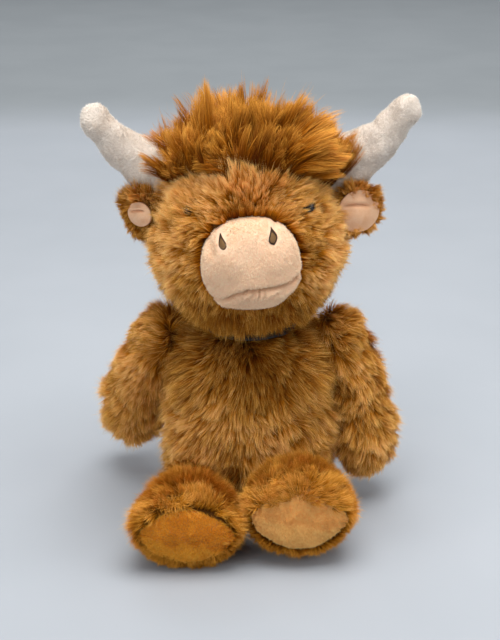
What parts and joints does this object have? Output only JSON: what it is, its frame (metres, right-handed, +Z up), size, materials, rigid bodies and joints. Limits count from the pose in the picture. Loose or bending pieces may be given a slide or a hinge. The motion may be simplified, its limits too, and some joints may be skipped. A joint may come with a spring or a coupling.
{
  "type": "plush cow",
  "caption": "Seated stuffed cow toy with long pile, velour nose and soles, stuffed horns, round ears, a topknot and sewn-on limbs that swing.",
  "frame": {"origin": "on the plane the cow sits on, under the middle of its outline seen from above", "axes": "+Z up, the cow faces -Y, its own left is +X"},
  "size_m": [0.1932, 0.16, 0.2526],
  "materials": {
    "pile": "long pile, chestnut tipped with tan",
    "mane": "extra long pile, red-brown",
    "nose": "short velour, peach",
    "horn": "short nap, pale grey-beige",
    "sole": "short velour, tan",
    "thread": "brown embroidery thread",
    "ribbon": "black woven ribbon",
    "eye": "black, polished",
    "washer": "white, moulded",
    "stuffing": "white fibre filling",
    "bag": "thin woven bag of plastic pellets"
  },
  "bodies": {
    "trunk": {"torso_cover": "pile", "torso_filling": "stuffing", "pellet_bag": "bag"},
    "neck": {"neck_filling": "stuffing", "neck_ribbon": "ribbon"},
    "head": {"head_cover": "pile", "head_filling": "stuffing", "muzzle": "nose", "nostril_left": "thread", "nostril_right": "thread", "mouth_stitch": "thread", "eye_left": "eye", "eye_right": "eye", "eye_washer_left": "washer", "eye_washer_right": "washer", "mane": "mane"},
    "tail": {"tail_cord": "pile", "tail_tuft": "mane"},
    "horn_left_body": {"horn_left": "horn", "horn_filling_left": "stuffing"},
    "ear_left_body": {"ear_back_left": "pile", "ear_lining_left": "nose"},
    "arm_left_body": {"arm_cover_left": "pile", "arm_filling_left": "stuffing"},
    "leg_left_body": {"leg_cover_left": "pile", "leg_filling_left": "stuffing", "sole_pad_left": "sole"},
    "horn_right_body": {"horn_right": "horn", "horn_filling_right": "stuffing"},
    "ear_right_body": {"ear_back_right": "pile", "ear_lining_right": "nose"},
    "arm_right_body": {"arm_cover_right": "pile", "arm_filling_right": "stuffing"},
    "leg_right_body": {"leg_cover_right": "pile", "leg_filling_right": "stuffing", "sole_pad_right": "sole"}
  },
  "joints": [
    {"name": "head_turn", "type": "hinge", "parent": "trunk", "child": "neck", "pos_m": [-0.0003, 0.02304, 0.121], "axis": [0, 0, 1], "range_deg": [-30, 30], "stiffness_Nm_per_rad": 0.12},
    {"name": "head_nod", "type": "hinge", "parent": "neck", "child": "head", "pos_m": [-0.0003, 0.02304, 0.121], "axis": [0.9993, 0.0262, 0.0262], "range_deg": [-12, 12], "stiffness_Nm_per_rad": 0.6},
    {"name": "arm_left_swing", "type": "hinge", "parent": "trunk", "child": "arm_left_body", "pos_m": [0.0532, 0.02304, 0.106], "axis": [-0.9397, 0, 0.342], "range_deg": [-30, 80]},
    {"name": "arm_right_swing", "type": "hinge", "parent": "trunk", "child": "arm_right_body", "pos_m": [-0.0538, 0.02304, 0.106], "axis": [-0.9397, 0, -0.342], "range_deg": [-10, 100]},
    {"name": "leg_left_swing", "type": "hinge", "parent": "trunk", "child": "leg_left_body", "pos_m": [0.0272, -0.00676, 0.024], "axis": [-1, 0, 0], "range_deg": [-7, 8]},
    {"name": "leg_right_swing", "type": "hinge", "parent": "trunk", "child": "leg_right_body", "pos_m": [-0.0357, -0.01346, 0.024], "axis": [-1, 0, 0], "range_deg": [-4, 16]},
    {"name": "horn_left_tilt", "type": "hinge", "parent": "head", "child": "horn_left_body", "pos_m": [0.04439, 0.02622, 0.2072], "axis": [-0.0262, 0.9997, 0], "range_deg": [-9, 9], "stiffness_Nm_per_rad": 0.05},
    {"name": "horn_right_tilt", "type": "hinge", "parent": "head", "child": "horn_right_body", "pos_m": [-0.04255, 0.02394, 0.20492], "axis": [-0.0262, 0.9997, 0], "range_deg": [-9, 9], "stiffness_Nm_per_rad": 0.05},
    {"name": "ear_left_flap", "type": "hinge", "parent": "head", "child": "ear_left_body", "pos_m": [0.04748, 0.00579, 0.18976], "axis": [-0.0262, -0.0007, 0.9997], "range_deg": [-25, 8], "stiffness_Nm_per_rad": 0.004},
    {"name": "ear_right_flap", "type": "hinge", "parent": "head", "child": "ear_right_body", "pos_m": [-0.05064, 0.00322, 0.18719], "axis": [-0.0262, -0.0007, 0.9997], "range_deg": [-3, 25], "stiffness_Nm_per_rad": 0.004},
    {"name": "tail_lift", "type": "hinge", "parent": "trunk", "child": "tail", "pos_m": [-0.0003, 0.06642, 0.048], "axis": [1, 0, 0], "range_deg": [0, 90]}
  ]
}
